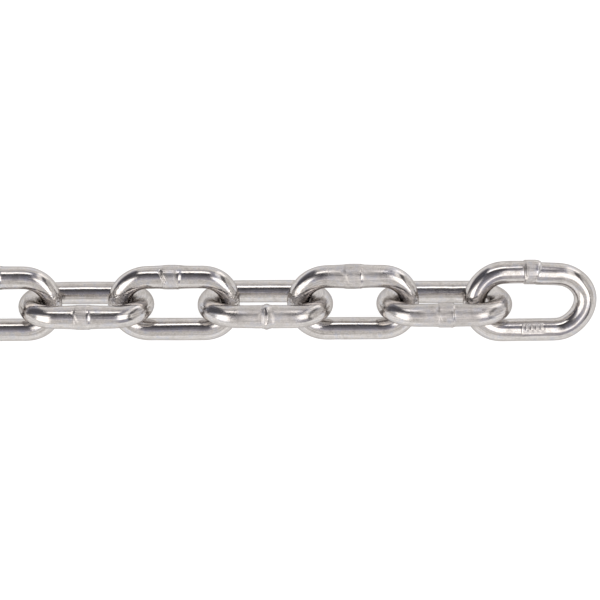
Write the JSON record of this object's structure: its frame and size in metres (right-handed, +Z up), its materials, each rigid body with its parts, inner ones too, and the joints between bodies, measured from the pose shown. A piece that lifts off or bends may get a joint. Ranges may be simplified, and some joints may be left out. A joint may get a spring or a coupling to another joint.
{
  "type": "load binder chain",
  "caption": "Welded round-wire load binder chain in a straight run; oval links lean to alternate sides and each swings on the next, with a plain link at both ends.",
  "frame": {"origin": "centre of the underside of the chain's box, on the surface that the chain lies on", "axes": "+X along the chain towards end_link, +Z up"},
  "size_m": [0.6488, 0.0258, 0.0227],
  "materials": {
    "zinc_plated_steel": "bright zinc plating, smooth with fine grain"
  },
  "bodies": {
    "end_link": {"end_link": "zinc_plated_steel"},
    "link_02": {"link_02": "zinc_plated_steel"},
    "link_03": {"link_03": "zinc_plated_steel"},
    "link_04": {"link_04": "zinc_plated_steel"},
    "link_05": {"link_05": "zinc_plated_steel"},
    "link_06": {"link_06": "zinc_plated_steel"},
    "link_07": {"link_07": "zinc_plated_steel"},
    "link_08": {"link_08": "zinc_plated_steel"},
    "link_09": {"link_09": "zinc_plated_steel"},
    "link_10": {"link_10": "zinc_plated_steel"},
    "link_11": {"link_11": "zinc_plated_steel"},
    "link_12": {"link_12": "zinc_plated_steel"},
    "link_13": {"link_13": "zinc_plated_steel"},
    "link_14": {"link_14": "zinc_plated_steel"},
    "link_15": {"link_15": "zinc_plated_steel"},
    "link_16": {"link_16": "zinc_plated_steel"},
    "link_17": {"link_17": "zinc_plated_steel"},
    "link_18": {"link_18": "zinc_plated_steel"},
    "link_19": {"link_19": "zinc_plated_steel"},
    "far_end_link": {"far_end_link": "zinc_plated_steel"}
  },
  "joints": [
    {"name": "swing_01", "type": "hinge", "parent": "link_02", "child": "end_link", "pos_m": [0.29005, -0.00037, 0.01114], "axis": [0.0786, -0.5428, 0.8362], "range_deg": [-90, 90]},
    {"name": "swing_02", "type": "hinge", "parent": "link_03", "child": "link_02", "pos_m": [0.25835, -0.00037, 0.01114], "axis": [0, -0.7071, -0.7071], "range_deg": [-90, 90]},
    {"name": "swing_03", "type": "hinge", "parent": "link_04", "child": "link_03", "pos_m": [0.22665, -0.00037, 0.01114], "axis": [0, 0.7071, -0.7071], "range_deg": [-90, 90]},
    {"name": "swing_04", "type": "hinge", "parent": "link_05", "child": "link_04", "pos_m": [0.19495, -0.00037, 0.01114], "axis": [0, -0.7071, -0.7071], "range_deg": [-90, 90]},
    {"name": "swing_05", "type": "hinge", "parent": "link_06", "child": "link_05", "pos_m": [0.16325, -0.00037, 0.01114], "axis": [0, -0.7071, 0.7071], "range_deg": [-90, 90]},
    {"name": "swing_06", "type": "hinge", "parent": "link_07", "child": "link_06", "pos_m": [0.13155, -0.00037, 0.01114], "axis": [0, 0.7071, 0.7071], "range_deg": [-90, 90]},
    {"name": "swing_07", "type": "hinge", "parent": "link_08", "child": "link_07", "pos_m": [0.09985, -0.00037, 0.01114], "axis": [0, -0.7071, 0.7071], "range_deg": [-90, 90]},
    {"name": "swing_08", "type": "hinge", "parent": "link_09", "child": "link_08", "pos_m": [0.06815, -0.00037, 0.01114], "axis": [0, -0.7071, -0.7071], "range_deg": [-90, 90]},
    {"name": "swing_09", "type": "hinge", "parent": "link_10", "child": "link_09", "pos_m": [0.03645, -0.00037, 0.01114], "axis": [0, 0.7071, -0.7071], "range_deg": [-90, 90]},
    {"name": "swing_10", "type": "hinge", "parent": "link_11", "child": "link_10", "pos_m": [0.00475, -0.00037, 0.01114], "axis": [0, -0.7071, -0.7071], "range_deg": [-90, 90]},
    {"name": "swing_11", "type": "hinge", "parent": "link_11", "child": "link_12", "pos_m": [-0.03535, -0.00037, 0.01114], "axis": [0, -0.7071, -0.7071], "range_deg": [-90, 90]},
    {"name": "swing_12", "type": "hinge", "parent": "link_12", "child": "link_13", "pos_m": [-0.06705, -0.00037, 0.01114], "axis": [0, 0.7071, -0.7071], "range_deg": [-90, 90]},
    {"name": "swing_13", "type": "hinge", "parent": "link_13", "child": "link_14", "pos_m": [-0.09875, -0.00037, 0.01114], "axis": [0, -0.7071, -0.7071], "range_deg": [-90, 90]},
    {"name": "swing_14", "type": "hinge", "parent": "link_14", "child": "link_15", "pos_m": [-0.13045, -0.00037, 0.01114], "axis": [0, -0.7071, 0.7071], "range_deg": [-90, 90]},
    {"name": "swing_15", "type": "hinge", "parent": "link_15", "child": "link_16", "pos_m": [-0.16215, -0.00037, 0.01114], "axis": [0, 0.7071, 0.7071], "range_deg": [-90, 90]},
    {"name": "swing_16", "type": "hinge", "parent": "link_16", "child": "link_17", "pos_m": [-0.19385, -0.00037, 0.01114], "axis": [0, -0.7071, 0.7071], "range_deg": [-90, 90]},
    {"name": "swing_17", "type": "hinge", "parent": "link_17", "child": "link_18", "pos_m": [-0.22555, -0.00037, 0.01114], "axis": [0, -0.7071, -0.7071], "range_deg": [-90, 90]},
    {"name": "swing_18", "type": "hinge", "parent": "link_18", "child": "link_19", "pos_m": [-0.25725, -0.00037, 0.01114], "axis": [0, 0.7071, -0.7071], "range_deg": [-90, 90]},
    {"name": "swing_19", "type": "hinge", "parent": "link_19", "child": "far_end_link", "pos_m": [-0.28895, -0.00037, 0.01114], "axis": [0, -0.7071, -0.7071], "range_deg": [-90, 90]}
  ]
}
